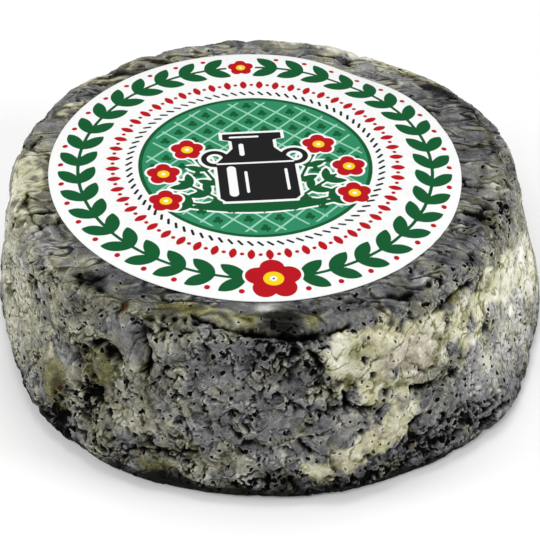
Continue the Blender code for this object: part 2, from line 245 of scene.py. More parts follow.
# On the rim they are drawn out along the X axis, softer and with more contrast
RIM_SEED = 60
RIM_WAYS = (28.5, 31.5)
RIM_CLOSENESS = (0.32, 0.85, 0.85)
RIM_CONTRAST = 0.45
RIM_SMOOTH = 0.4
RIM_SHADE = 0.02

# The skin's depths, its tone where it is plain, and the ways between which the painted shade at the foot
# fades
PIT_DEPTH = 0.5
PIT_EDGE = 0.16
SKIN_REST = -0.45
PLAIN_TONE = 0.30
FOOT_SHADE_FADE = (8.4, 4.8)

# The rind's mesh
COLUMNS = 1408
SPACING = 0.2
UNDERSIDE_SHARES = (0.25, 0.5, 0.72, 0.88, 0.96)
HIDDEN_START = 2.2
HIDDEN_WAYS = (0.8, 2.5, 6.0, 12.0, 19.0)
HIDDEN_DROP = 0.15

# The rind's colours, from its hollows to its crests, in linear light; the dark end is partly painted shade
# in hollows
GREY_RIND = ((0.0, (0.006, 0.006, 0.007)), (0.25, (0.042, 0.043, 0.047)), (0.5, (0.13, 0.13, 0.133)),
             (0.75, (0.26, 0.26, 0.255)), (1.0, (0.48, 0.48, 0.465)))
WARM_RIND = ((0.0, (0.008, 0.007, 0.003)), (0.25, (0.055, 0.052, 0.034)), (0.5, (0.17, 0.166, 0.118)),
             (0.75, (0.34, 0.335, 0.255)), (1.0, (0.54, 0.53, 0.44)))
CREAM_RIND = ((0.0, (0.08, 0.072, 0.016)), (0.25, (0.24, 0.225, 0.09)), (0.5, (0.44, 0.425, 0.26)),
              (0.75, (0.64, 0.63, 0.50)), (1.0, (0.82, 0.81, 0.76)))
OLIVE_RIND = ((0.0, (0.016, 0.014, 0.003)), (0.35, (0.08, 0.075, 0.019)), (0.7, (0.235, 0.225, 0.09)),
              (1.0, (0.48, 0.47, 0.29)))
BLUSH_RIND = ((0.0, (0.06, 0.045, 0.025)), (0.3, (0.22, 0.19, 0.14)), (0.6, (0.44, 0.40, 0.32)),
              (1.0, (0.82, 0.79, 0.71)))
RIND_MARKS = ("tone", "dark", "cream", "smooth", "warm", "olive", "blush", "black", "rust")
RUST = (0.045, 0.017, 0.002)
BLACK = (0.001, 0.001, 0.001)
DEEP_OLIVE = (0.07, 0.06, 0.013)

# The rind's shine, dry and wet, and its finest marks: the sizes of their cells in millimetres
DRY_ROUGHNESS = 0.70
WET_ROUGHNESS = 0.40
RIND_SPECULAR = 0.03
COAT_ROUGHNESS = 0.25
GRAIN_SIZE = 0.4
MOTTLE_SIZE = 1.3
SPOT_SIZES = (1.1, 2.0)
CURL_SIZES = (1.3, 0.8)

# The label's paper. Its print is laid out in its own axes: u to the right and v to the back.
LABEL_SIDE = 289
LABEL_LIFT = 0.14
LABEL_THICKNESS = 0.12
LABEL_DROOP = 0.22
EDGE_DROOP = 0.26
EDGE_PRESSED = 3.0
LABEL_TURN = 7.0
UNDER_SHARES = (0.97, 0.9, 0.78, 0.6, 0.35)
PAPER_WRINKLE = 0.12
PAPER_ROUGHNESS = 0.7
PAPER_SPECULAR = 0.12
FIBRE_SIZE = 0.5
PAPER = ((0.3, (0.77, 0.78, 0.77)), (0.7, (0.81, 0.82, 0.81)))
INKS = {
    "meadow": (0.022, 0.22, 0.105),
    "mist": (0.27, 0.56, 0.41),
    "halo": (0.79, 0.81, 0.79),
    "leaf": (0.002, 0.085, 0.022),
    "red": (0.42, 0.002, 0.008),
    "yellow": (0.80, 0.56, 0.006),
    "black": (0.008, 0.008, 0.009),
    "shine": (0.79, 0.80, 0.79),
}
FAR_FROM_INK = 1.0
INK_EDGE = 0.03
HALO = 0.35

WREATH_RADIUS = 26.4
WREATH_ENDS = (-82.0, 77.0)
WREATH_PAIRS = 18
WREATH_LEAF = (4.6, 2.1)
WREATH_SPLAY = 36.0
BEAD_RADIUS = 21.3
BEAD_COUNT = 52
ROPE_RADIUS = 18.9
ROPE_COUNT = 84
ROUNDEL_RADIUS = 17.2
LATTICE_GAP = 4.4
CHURN_BASE = (0.0, -9.0)
CHURN_SCALE = 1.5
CHURN_PROFILE = ((0.0, 3.4), (0.5, 3.9), (6.2, 3.9), (8.6, 2.1), (10.0, 2.1), (10.1, 3.0), (11.2, 3.0))
CHURN_SHINES = (((-2.5, 1.2), (-2.5, 5.2), 0.9), ((-1.1, 1.4), (-1.1, 4.6), 0.3),
                ((2.9, 1.6), (2.9, 4.8), 0.3), ((-1.2, 7.6), (-1.2, 9.2), 0.5),
                ((-2.2, 10.6), (0.6, 10.6), 0.3), ((-3.8, 6.1), (3.8, 6.1), 0.25))
STEM_ROOT = (3.5, -10.5)
STEMS = ((66.0, 16.0, 2), (40.0, 13.5, 2), (12.0, 10.5, 1))
STEM_LEAF = (3.2, 1.3)
MOUND = ((-11.0, -10.0), 22.0, 3.4)
FLOWER_PETALS = 5
FLOWER_REACH = 1.5

# The photograph's camera
CAMERA_ELEVATION = 40.59
CAMERA_DISTANCE = 230.6
CAMERA_TARGET = (-0.123, 0.0, 4.643)
CAMERA_ROLL = 1.88
CAMERA_LENS = 95.67
CAMERA_SENSOR = 36.0

# Lights: name, place and target in metres, size, power
LIGHTS = (
    ("overhead", (0.0, 0.12, 0.55), (0.0, 0.0, 0.02), 0.30, 1.1),
    ("front", (-0.12, -0.36, 0.46), (0.0, 0.0, 0.01), 0.16, 1.0),
    ("left", (-0.5, -0.10, 0.16), (0.0, 0.0, 0.01), 0.20, 1.3),
    ("right", (0.5, -0.10, 0.18), (0.0, 0.0, 0.01), 0.20, 1.6),
)
WORLD_STRENGTH = 0.38
# The floor: half its side in metres, its full glow, and the nearness where that is full and gone.
# Nearness is 1 at the cheese and 0 a metre off.
FLOOR_REACH = 6.0
FLOOR_NEARNESS = (0.2, 0.7)
FLOOR_GLOW = 0.7
FLOOR_WHITE = (0.9, 0.9, 0.9, 1.0)

# The slopes of the gradient noise
EDGES = np.array([(1, 1, 0), (-1, 1, 0), (1, -1, 0), (-1, -1, 0), (1, 0, 1), (-1, 0, 1),
                  (1, 0, -1), (-1, 0, -1), (0, 1, 1), (0, -1, 1), (0, 1, -1), (0, -1, -1)], float)


def smooth_step(low, high, value):
    """0 below low, 1 above high and a smooth curve between them."""
    share = np.clip((value - low) / (high - low), 0.0, 1.0)
    return share * share * (3.0 - 2.0 * share)


def blender_noise(points, wave, seed):
    """Blender's own noise, which the CAD solid's coarse relief comes from."""
    offset = Vector((seed * 17.3, seed * 5.1, seed * 29.7))
    flat = (points / wave).reshape(-1, 3)
    values = [noise.noise(Vector(point) + offset) for point in flat]
    return np.array(values).reshape(points.shape[:-1])


def perlin(points, wave, seed):
    """Gradient noise in about -1 to 1 at an array of points, for a wavelength."""
    shuffled = np.random.default_rng(seed).permutation(256)
    scaled = points / wave + 11.7
    cell = np.floor(scaled).astype(np.int64)
    part = scaled - cell
    fade = part ** 3 * (part * (part * 6 - 15) + 10)
    total = np.zeros(len(points))
    for corner in np.ndindex(2, 2, 2):
        index = np.zeros(len(points), np.int64)
        weight = np.ones(len(points))
        for axis, step in enumerate(corner):
            index = shuffled[(index + cell[:, axis] + step) & 255]
            weight = weight * (fade[:, axis] if step else 1 - fade[:, axis])
        total += weight * ((part - corner) * EDGES[index % 12]).sum(axis=1)
    return total


def crest(value, width):
    """1 where a value passes through zero, falling to 0 on both sides."""
    return np.exp(-(value / width) ** 2)


def turned_profile(way):
    """Radius and height of the round drum at a way."""
    radius = np.empty_like(way)
    height = np.empty_like(way)

    foot = way < FLANK_START
    angle = way[foot] / BASE_ROUND - math.pi / 2
    radius[foot] = BASE_RADIUS - BASE_ROUND + BASE_ROUND * np.cos(angle)
    height[foot] = BASE_ROUND + BASE_ROUND * np.sin(angle)

    flank = (way >= FLANK_START) & (way < FLANK_END)
    climb = way[flank] - FLANK_START
    inset = FLANK_HOLLOW * (1 - np.cos(2 * math.pi * climb / FLANK_LENGTH)) / 2
    lean_sin = math.sin(FLANK_LEAN)
    lean_cos = math.cos(FLANK_LEAN)
    radius[flank] = BASE_RADIUS - BASE_ROUND + (BASE_ROUND - inset) * lean_cos - climb * lean_sin
    height[flank] = BASE_ROUND + (BASE_ROUND - inset) * lean_sin + climb * lean_cos

    shoulder = (way >= FLANK_END) & (way < TOP_START)
    angle = FLANK_LEAN + (way[shoulder] - FLANK_END) / TOP_ROUND
    radius[shoulder] = TOP_RADIUS - TOP_ROUND + TOP_ROUND * np.cos(angle)
    height[shoulder] = HEIGHT - TOP_ROUND + TOP_ROUND * np.sin(angle)

    top = way >= TOP_START
    radius[top] = TOP_RADIUS - TOP_ROUND - (way[top] - TOP_START)
    height[top] = HEIGHT
    return radius, height


def out_of_round(lobes, bearing):
    """How far a set of lobes stands out at a bearing."""
    return sum(rise * np.cos(count * (bearing - math.radians(first))) for count, rise, first in lobes)


def crown(x, y):
    """Rise and fall of the top, over which the label lies."""
    flat = np.stack([x, y, np.zeros_like(x)], axis=-1)
    rise = CROWN_RISE * blender_noise(flat, CROWN_WAVE, 3)
    for bearing, distance, spread, depth in CROWN_DIPS:
        away_x = x - TOP_SHIFT[0] - distance * math.cos(math.radians(bearing))
        away_y = y - TOP_SHIFT[1] - distance * math.sin(math.radians(bearing))
        rise = rise - depth * np.exp(-(away_x ** 2 + away_y ** 2) / spread ** 2)
    return rise


def plain_skin(bearing, way):
    """Points of the drum with its lobes, shift and crown, but no relief."""
    radius, height = turned_profile(way)
    share = height / HEIGHT
    radius = radius * (1 + out_of_round(BASE_LOBES, bearing) / BASE_RADIUS * (1 - share)
                       + out_of_round(TOP_LOBES, bearing) / TOP_RADIUS * share)
    x = radius * np.cos(bearing) + TOP_SHIFT[0] * share
    y = radius * np.sin(bearing) + TOP_SHIFT[1] * share
    height = height + crown(x, y) * share ** 3
    return np.stack([x, y, height], axis=-1)


def outward(bearing, way):
    """Unit normals of the plain skin."""
    along = plain_skin(bearing + TINY, way) - plain_skin(bearing - TINY, way)
    upward = plain_skin(bearing, way + TINY) - plain_skin(bearing, way - TINY)
    normal = np.cross(along, upward)
    return normal / np.linalg.norm(normal, axis=-1, keepdims=True)


def label_distance(x, y):
    """Distance from the label's centre."""
    return np.hypot(x - TOP_SHIFT[0] - LABEL_SHIFT[0], y - TOP_SHIFT[1] - LABEL_SHIFT[1])


def turn_between(bearing, other):
    """Signed turn in radians from another bearing, given in degrees."""
    turn = bearing - math.radians(other)
    return (turn + math.pi) % (2 * math.pi) - math.pi


def groove(bearing, way, half_width, path):
    """1 along a path, falling smoothly to 0 at its half width."""
    nearest = np.full(bearing.shape, half_width)
    for start, end in zip(path, path[1:]):
        across = turn_between(bearing, start[0]) * MEAN_RADIUS
        up = way - start[1]
        run = math.radians(end[0] - start[0]) * MEAN_RADIUS
        climb = end[1] - start[1]
        share = np.clip((across * run + up * climb) / (run ** 2 + climb ** 2), 0.0, 1.0)
        nearest = np.minimum(nearest, np.hypot(across - share * run, up - share * climb))
    return (1 - (nearest / half_width) ** 2) ** 2


def patches(bearing, way, places):
    """The strongest of a set of soft round patches."""
    cover = np.zeros(bearing.shape)
    for centre, height, wide, tall, strength in places:
        across = turn_between(bearing, centre) / math.radians(wide)
        up = (way - height) / tall
        cover = np.maximum(cover, strength * np.exp(-across ** 2 - up ** 2))
    return cover


def unrolled(bearing, way):
    """Places for noise on the rind, the same after a full turn."""
    return np.stack([MEAN_RADIUS * np.cos(bearing), MEAN_RADIUS * np.sin(bearing), way], axis=-1)


def drawn_out(bearing, way, tilt, centre, along_close, across_close):
    """Places for noise near a bearing that draw its pattern out along a tilt."""
    tilt = math.radians(tilt)
    across = turn_between(bearing, centre) * MEAN_RADIUS
    along = across * math.cos(tilt) + way * math.sin(tilt)
    beside = way * math.cos(tilt) - across * math.sin(tilt)
    level = np.full(along.shape, float(centre))
    return np.stack([along_close * along, across_close * beside, level], axis=-1)


def wrinkles(places, seed):
    """The mould's skin: how high it stands, how light it is, its folds, and a field high in pits. Its
    lightness is partly painted light and shade that follow its relief.
    """
    bend = np.stack([perlin(places, 2.4, seed + axis) for axis in range(3)], axis=-1)
    ripple = np.stack([perlin(places, 0.9, seed + 3 + axis) for axis in range(3)], axis=-1)
    bent = places + 1.2 * bend + 0.3 * ripple
    some = smooth_step(-0.3, 0.3, perlin(places, 3.1, seed + 6))
    others = smooth_step(-0.2, 0.3, perlin(places, 2.3, seed + 7))
    large = np.abs(perlin(bent, 2.6, seed + 8) + 0.12 * perlin(bent, 0.6, seed + 9))
    small = np.abs(perlin(bent, 1.3, seed + 10))
    flecks = perlin(bent, 0.42, seed + 11)
    lumps = perlin(places, 5.2, seed + 12) + 0.6 * perlin(bent, 2.0, seed + 13)

    folds = crest(large, 0.08) * (0.2 + 0.8 * some)
    cuts = crest(small, 0.10) * others
    edges = crest(large - 0.15, 0.05) * some + 0.7 * crest(small - 0.2, 0.07) * others
    billows = np.minimum(large, 0.3) / 0.3 + 0.65 * np.minimum(small, 0.3) / 0.3
    holes = perlin(bent, 1.2, seed + 14) + 0.35 * perlin(bent, 0.6, seed + 15)
    holes = holes + 0.25 * perlin(places, 6.0, seed + 16) + 0.2 * folds + 0.12 * cuts
    rise = 0.15 * billows + 0.02 * flecks + 0.12 * lumps + 0.08 * edges
    # Painted light and shade: lighter on billows, lumps and the edges beside folds, darker in folds and
    # cuts
    light = 0.13 * billows + 0.06 * flecks + 0.26 * lumps + 0.32 * edges - 0.32 * folds - 0.22 * cuts
    return np.stack([rise, light, folds, holes])


def skin_pattern(bearing, way):
    """The wrinkles: along the X axis on the rim, drawn out in some places and even elsewhere."""
    rim = smooth_step(*RIM_WAYS, way)
    layers = [(RIM_SEED, rim, plain_skin(bearing, way) * RIM_CLOSENESS)]
    for seed, tilt, centre, along_close, across_close, places in OTHER_WRINKLES:
        cover = np.clip(patches(bearing, way, places), 0, 1)
        layers.append((seed, cover, drawn_out(bearing, way, tilt, centre, along_close, across_close)))
    layers.append((EVEN_SEED, np.ones(len(bearing)), EVEN_CLOSENESS * unrolled(bearing, way)))

    pattern = np.zeros((4, len(bearing)))
    left = np.ones(len(bearing))
    for seed, cover, places in layers:
        share = left * cover
        left = left - share
        used = share > 0.01
        pattern[:, used] += share[used] * wrinkles(places[used], seed)
    return pattern


def stains_and_painted_light(bearing, way):
    """How cream, olive, warm, blushed, pale, dark and smooth the rind is at each place. Pale patches
    include a painted highlight, and dark patches on smooth skin are painted shade.
    """
    places = unrolled(bearing, way)
    moved_bearing = bearing + math.radians(1.2) * perlin(places, 4.0, 41)
    moved_way = way + 0.8 * perlin(places, 4.0, 42)
    speckle = perlin(places, 1.9, 43) + 0.6 * perlin(places, 0.9, 44)
    unseen = smooth_step(0.2, 0.75, np.sin(bearing)) * smooth_step(34.0, 28.0, way)
    blotches = perlin(places, 17.0, 45) + 0.5 * perlin(places, 6.0, 53)

    cover = {name: patches(moved_bearing, moved_way, table) for name, table in STAINS_AND_PAINTED_LIGHT.items()}
    cover["cream"] += unseen * smooth_step(0.0, 0.6, blotches)
    cover["dark"] += unseen * smooth_step(0.1, 0.6, -blotches)
    cover["warm"] += unseen * smooth_step(-0.2, 0.3, blotches) + 0.8 * perlin(places, 3.5, 51)
    marks = {}
    for name, (low, high, speckled) in PATCH_EDGES.items():
        marks[name] = smooth_step(low, high, cover[name] + speckled * speckle)
    # Pale reaches up to 2, for the painted highlight on the front ledge
    marks["pale"] = np.clip(cover["pale"] + 0.2 * speckle, 0, 2)
    marks["smooth"] = np.clip(cover["smooth"], 0, 1)
    return marks


def cracks_and_folds(bearing, way):
    """How far each place is cracked and folded, and the height that this gives."""
    places = unrolled(bearing, way)
    aside = 0.3 * perlin(places, 2.4, 46) + 0.5 * perlin(places, 0.9, 48)
    bearing = bearing + aside / MEAN_RADIUS
    way = way + 0.3 * perlin(places, 2.4, 47) + 0.5 * perlin(places, 0.9, 49)
    strength = np.clip(1.0 + 1.1 * perlin(places, 2.8, 50), 0.55, 1.25)
    crack = patches(bearing, way, [(*hole, 1.0) for hole in HOLES])
    height = -0.7 * crack
    for half_width, depth, path in CRACKS:
        line = groove(bearing, way, half_width, path) * strength
        crack = np.maximum(crack, line)
        height = np.minimum(height, -depth * line)
    fold = np.zeros(bearing.shape)
    for half_width, rise, path in FOLDS:
        fold = fold + rise * groove(bearing, way, half_width, path)
    off_curl = np.hypot(turn_between(bearing, CURL[0]) * MEAN_RADIUS, way - CURL[1]) - CURL[2]
    fold = fold + CURL[4] * crest(off_curl, CURL[3])
    return smooth_step(0.25, 0.9, crack), fold, height + fold


def coarse_relief(bearing, way):
    """The CAD solid's own relief."""
    plain = plain_skin(bearing, way)
    furrow = np.abs(blender_noise(plain, FURROW_WAVE, 2)) / FURROW_WIDTH
    height = SWELL_RISE * blender_noise(plain, SWELL_WAVE, 1)
    height -= FURROW_DEPTH * np.clip(1 - furrow, 0.0, 1.0)
    for centre, middle, wide, tall, rise in SWELLINGS:
        across = turn_between(bearing, centre) / math.radians(wide)
        height += rise * np.exp(-across ** 2 - ((way - middle) / tall) ** 2)
    for half_width, rise, path in CREASES:
        height += rise * groove(bearing, way, half_width, path)
    return height


def rind_fields(bearing, way):
    """Everything that shapes and colours the rind, as one array for each name."""
    rise, light, folds, holes = skin_pattern(bearing, way)
    marks = stains_and_painted_light(bearing, way)
    pale = marks.pop("pale")
    cream, dark, smooth = marks["cream"], marks["dark"], marks["smooth"]
    crack, fold, crack_height = cracks_and_folds(bearing, way)

    rim = smooth_step(*RIM_WAYS, way)
    light = light * (1 + RIM_CONTRAST * rim + 0.35 * (dark + pale))
    smooth = np.maximum(smooth, RIM_SMOOTH * rim)
    marks["smooth"] = smooth
    threshold = 0.34 - 0.38 * dark * (1 - smooth) + 0.26 * cream + 0.06 * pale + 0.25 * smooth
    pits = smooth_step(threshold, threshold + PIT_EDGE, holes)
    rims = smooth_step(threshold - 0.20, threshold - 0.05, holes) * (1 - pits)
    rough = 1 - np.maximum(0.75 * smooth, 0.3 * cream)
    relief = rough * (rise + 0.06 * rims) - PIT_DEPTH * pits + SKIN_REST + crack_height
    # Tone, with painted shade on dark patches of smooth skin and in cracks by their depth, and painted
    # light on raised folds
    tone = PLAIN_TONE - RIM_SHADE * rim + rough * (light + 0.14 * rims)
    tone = tone + 0.32 * pale - (0.18 + 0.20 * smooth + 0.15 * rim) * dark
    tone = tone + 0.25 * fold - 0.25 * np.clip(-crack_height, 0, 1)
    # Painted shade at the foot: blackens the bottom of the side and fades up it
    above_foot_shade = way + 3.0 * light + 2.0 * perlin(unrolled(bearing, way), 3.5, 52)
    foot = smooth_step(*FOOT_SHADE_FADE, above_foot_shade + patches(bearing, way, FOOT_SHADE_LOWERED))
    # Black: pits and cracks painted black as the shade in them, painted shade at the foot, and painted
    # shade on dark patches of smooth skin
    black = np.maximum((0.95 - 0.4 * cream) * pits, crack) + 0.95 * foot + 0.9 * dark * smooth ** 2
    rust = patches(bearing, way, RUST_PATCHES)
    marks["olive"] = np.maximum(marks["olive"], 0.8 * folds * np.maximum(marks["warm"], cream))
    return {"height": coarse_relief(bearing, way), "relief": relief, "tone": tone,
            "black": np.clip(black, 0, 1), "rust": smooth_step(0.3, 0.8, rust), **marks}


def ring_faces(first, first_count, second, second_count):
    """Faces between two rings of vertices with equal counts, or one with twice the other's."""
    if first_count < second_count:
        return [face[::-1] for face in ring_faces(second, second_count, first, first_count)]
    index = np.arange(second_count)
    after = (index + 1) % second_count
    if first_count == second_count:
        return np.stack([first + index, first + after, second + after, second + index], axis=1).tolist()
    middle = 2 * index + 1
    corners = ((first + 2 * index, first + middle, second + index),
               (first + middle, second + after, second + index),
               (first + middle, first + 2 * after, second + after))
    return np.concatenate([np.stack(corner, axis=1) for corner in corners]).tolist()


def fan_faces(centre, ring, count, facing_up):
    """Triangles that close a ring at its centre."""
    index = np.arange(count)
    after = (index + 1) % count
    first, second = (index, after) if facing_up else (after, index)
    return np.stack([np.full(count, centre), ring + first, ring + second], axis=1).tolist()


def add_object(name, data):
    """A new object in the scene, which holds a mesh, a light or a camera."""
    item = bpy.data.objects.new(name, data)
    bpy.context.scene.collection.objects.link(item)
    return item


def add_mesh(name, points, faces, material, values):
    """A smooth-shaded piece from points in millimetres, with one float attribute for each value."""
    mesh = bpy.data.meshes.new(name)
    mesh.from_pydata((points * MM).tolist(), [], faces)
    for key, value in values.items():
        layer = mesh.attributes.new(key, "FLOAT", "POINT")
        layer.data.foreach_set("value", np.asarray(value, np.float32))
    mesh.shade_smooth()
    mesh.materials.append(material)
    return add_object(name, mesh)


def label_droop(distance):
    """How far the label is pressed down at a distance from its centre, from 0 to 1 at its edge."""
    return smooth_step(LABEL_RADIUS - EDGE_PRESSED, LABEL_RADIUS, distance)


def rind_points(bearing, way, height, relief):
    """The bare rind's points: no relief on the base, and only hollows beside the label's edge."""
    plain = plain_skin(bearing, way)
    distance = label_distance(plain[:, 0], plain[:, 1])
    coarse = height * smooth_step(LABEL_RADIUS + 0.4, LABEL_RADIUS + 2.4, distance)
    rising = np.maximum(relief, 0) * smooth_step(LABEL_RADIUS, LABEL_RADIUS + 1.2, distance)
    sinking = np.minimum(relief, 0) * smooth_step(LABEL_RADIUS - 0.6, LABEL_RADIUS + 0.4, distance)
    inside = smooth_step(LABEL_RADIUS + 0.3, LABEL_RADIUS - 0.3, distance)
    height = coarse + rising + sinking - EDGE_DROOP * label_droop(distance) * inside
    height = height * smooth_step(BASE_PLAIN, BASE_FADE, way)
    points = plain + outward(bearing, way) * height[:, None]
    return np.clip(points, *CHEESE_BOX)


def hidden_ring(way, count):
    """One ring of the plain top under the label."""
    around = np.linspace(-math.pi, math.pi, count, endpoint=False)
    points = plain_skin(around, np.full(count, way))
    points[:, 2] -= HIDDEN_DROP
    return points


def make_rind(material):
    """The whole cheese: an underside, dense sides and rim, and a plain top under the label."""
    bare_end = TOP_END - LABEL_RADIUS + HIDDEN_START
    rows = round(bare_end / SPACING)
    ways = np.linspace(0.0, bare_end, rows)
    turns = np.linspace(-math.pi, math.pi, COLUMNS, endpoint=False)
    way, bearing = (grid.ravel() for grid in np.meshgrid(ways, turns, indexing="ij"))
    fields = rind_fields(bearing, way)
    bare = rind_points(bearing, way, fields.pop("height"), fields.pop("relief"))

    rings = []
    for level, share in enumerate(UNDERSIDE_SHARES):
        step = 2 ** (len(UNDERSIDE_SHARES) - level)
        rings.append(bare[:COLUMNS:step] * (share, share, 0.0))
    rings += list(bare.reshape(rows, COLUMNS, 3))
    for level, extra in enumerate(HIDDEN_WAYS):
        rings.append(hidden_ring(bare_end + extra, COLUMNS >> level + 1))
    middle = hidden_ring(TOP_END - TINY, 1)

    faces = fan_faces(0, 1, len(rings[0]), False)
    start = 1
    for ring, following in zip(rings, rings[1:]):
        faces += ring_faces(start, len(ring), start + len(ring), len(following))
        start += len(ring)
    faces += fan_faces(start + len(rings[-1]), start, len(rings[-1]), True)
    points = np.concatenate([np.zeros((1, 3)), *rings, middle])

    before = 1 + sum(len(ring) for ring in rings[:len(UNDERSIDE_SHARES)])
    values = {}
    for key, value in fields.items():
        values[key] = np.full(len(points), float(np.mean(value)))
        values[key][before:before + len(value)] = value
    return add_mesh("rind", points, faces, material, values)


def disc_grid(side, radius):
    """A square grid of points pressed into a disc: its points, faces and outline."""
    steps = np.linspace(-1, 1, side)
    down, across = np.meshgrid(steps, steps, indexing="ij")
    wide = np.abs(across) >= np.abs(down)
    reach = np.where(wide, across, down)
    safe = np.where(reach == 0, 1.0, reach)
    angle = np.where(wide, math.pi / 4 * down / safe, math.pi / 2 - math.pi / 4 * across / safe)
    x = (radius * reach * np.cos(angle)).ravel()
    y = (radius * reach * np.sin(angle)).ravel()
    index = np.arange(side * side).reshape(side, side)
    outline = np.concatenate([index[0, :-1], index[:-1, -1], index[-1, :0:-1], index[:0:-1, 0]])
    quads = np.stack([index[:-1, :-1], index[:-1, 1:], index[1:, 1:], index[1:, :-1]], axis=-1)
    return x, y, quads.reshape(-1, 4), outline


def paper_height(x, y):
    """Height of the label's upper face: the top's crown, with faint wrinkles at the right."""
    places = np.stack([x / 5.0, y, np.zeros_like(x)], axis=-1)
    right = smooth_step(8.0, 24.0, x - y * 0.2)
    droop = LABEL_DROOP * label_droop(label_distance(x, y))
    return HEIGHT + crown(x, y) + LABEL_LIFT - droop + PAPER_WRINKLE * perlin(places, 1.5, 7) * right


def make_label(material):
    """The label: a dense upper sheet with its print, its edge and a plain underside."""
    from_centre_x, from_centre_y, quads, outline = disc_grid(LABEL_SIDE, LABEL_RADIUS)
    turn = math.radians(LABEL_TURN)
    u = from_centre_x * math.cos(turn) + from_centre_y * math.sin(turn)
    v = from_centre_y * math.cos(turn) - from_centre_x * math.sin(turn)
    inks = make_print(u, v)

    centre_x = TOP_SHIFT[0] + LABEL_SHIFT[0]
    centre_y = TOP_SHIFT[1] + LABEL_SHIFT[1]
    x = from_centre_x + centre_x
    y = from_centre_y + centre_y
    top = np.stack([x, y, paper_height(x, y)], axis=-1)
    rings = [top[outline] - (0.0, 0.0, LABEL_THICKNESS)]
    for level, share in enumerate(UNDER_SHARES):
        edge = rings[0][::2 ** (level + 1)]
        x = centre_x + (edge[:, 0] - centre_x) * share
        y = centre_y + (edge[:, 1] - centre_y) * share
        rings.append(np.stack([x, y, paper_height(x, y) - LABEL_THICKNESS], axis=-1))
    middle = paper_height(np.array([centre_x]), np.array([centre_y])) - LABEL_THICKNESS

    start = len(top)
    index = np.arange(len(outline))
    after = (index + 1) % len(outline)
    faces = quads.tolist()
    faces += np.stack([start + index, start + after, outline[after], outline], axis=1).tolist()
    for ring, following in zip(rings, rings[1:]):
        faces += ring_faces(start + len(ring), len(following), start, len(ring))
        start += len(ring)
    faces += fan_faces(start + len(rings[-1]), start, len(rings[-1]), False)
    points = np.concatenate([top, *rings, [[centre_x, centre_y, middle[0]]]])

    values = {}
    for name, distance in inks.items():
        values["ink_" + name] = np.full(len(points), FAR_FROM_INK)
        values["ink_" + name][:len(top)] = distance
    return add_mesh("paper_label", points, faces, material, values)


def polar(radius, angle):
    """A place at a distance and an angle from the label's centre."""
    return radius * math.cos(math.radians(angle)), radius * math.sin(math.radians(angle))


def beyond(place, distance, angle):
    """A place at a distance and an angle from another."""
    step = polar(distance, angle)
    return place[0] + step[0], place[1] + step[1]


class Print:
    """The label's inks, each as a distance to its edge that is negative inside it."""

    def __init__(self, u, v):
        self.u = u
        self.v = v
        self.inks = {name: np.full(u.shape, FAR_FROM_INK) for name in INKS}

    def add(self, ink, shape):
        self.inks[ink] = np.minimum(self.inks[ink], shape)

    def clear(self, ink, shape):
        """Keep an ink out of a shape."""
        self.inks[ink] = np.maximum(self.inks[ink], -shape)

    def add_outlined(self, ink, shape):
        """Add a shape with a pale edge round it."""
        self.add("halo", shape - HALO)
        self.add(ink, shape)

    def disc(self, place, radius):
        return np.hypot(self.u - place[0], self.v - place[1]) - radius

    def stroke(self, start, end, width):
        run = end[0] - start[0]
        rise = end[1] - start[1]
        across = self.u - start[0]
        up = self.v - start[1]
        share = np.clip((across * run + up * rise) / (run ** 2 + rise ** 2), 0.0, 1.0)
        return np.hypot(across - share * run, up - share * rise) - width / 2

    def leaf(self, base, angle, length, width):
        """A pointed leaf that grows from its base at an angle."""
        turn = math.radians(angle)
        across = self.u - base[0]
        up = self.v - base[1]
        along = across * math.cos(turn) + up * math.sin(turn) - length / 2
        beside = up * math.cos(turn) - across * math.sin(turn)
        radius = (length ** 2 + width ** 2) / (4 * width)
        return np.hypot(along, np.abs(beside) + radius - width / 2) - radius


def spaced(first, last, count):
    """Even steps from the first value to the last."""
    return [first + (last - first) * step / (count - 1) for step in range(count)]


def print_wreath(sheet):
    """Two dark green sprays of leaves round the rim, from the front to the back, with red berries."""
    for side in (-1, 1):
        for angle in spaced(*WREATH_ENDS, WREATH_PAIRS):
            bearing = 90 + side * (90 - angle)
            base = polar(WREATH_RADIUS, bearing)
            for splay in (-WREATH_SPLAY, WREATH_SPLAY):
                sheet.add("leaf", sheet.leaf(base, bearing - 90 * side + splay, *WREATH_LEAF))
            sheet.add("red", sheet.disc(polar(WREATH_RADIUS + 2.6, bearing - side), 0.42))
    sheet.add("leaf", np.abs(sheet.disc((0.0, 0.0), WREATH_RADIUS)) - 0.25)
    print_flower(sheet, polar(WREATH_RADIUS, -90.0), 1.5)
    print_flower(sheet, polar(WREATH_RADIUS, 90.0), 0.8)


def print_rings(sheet):
    """A crimson ring of pointed beads and dots, and inside it a thin black rope."""
    step = 360 / BEAD_COUNT
    for number in range(BEAD_COUNT):
        angle = number * step
        sheet.add("red", sheet.leaf(polar(BEAD_RADIUS - 1.1, angle), angle, 2.2, 1.1))
        sheet.add("red", sheet.disc(polar(BEAD_RADIUS, angle + step / 2), 0.32))
    for number in range(ROPE_COUNT):
        angle = number * 360 / ROPE_COUNT
        ends = polar(ROPE_RADIUS - 0.35, angle), polar(ROPE_RADIUS + 0.35, angle + 2)
        sheet.add("black", sheet.stroke(*ends, 0.4))


def print_clover(sheet, place, size):
    """Three round dark green leaves on a short stalk."""
    for angle in (90, 210, 330):
        sheet.add("leaf", sheet.disc(beyond(place, 0.6 * size, angle), 0.55 * size))
    sheet.add("leaf", sheet.stroke(place, (place[0] + 0.3 * size, place[1] - 1.3 * size), 0.3 * size))


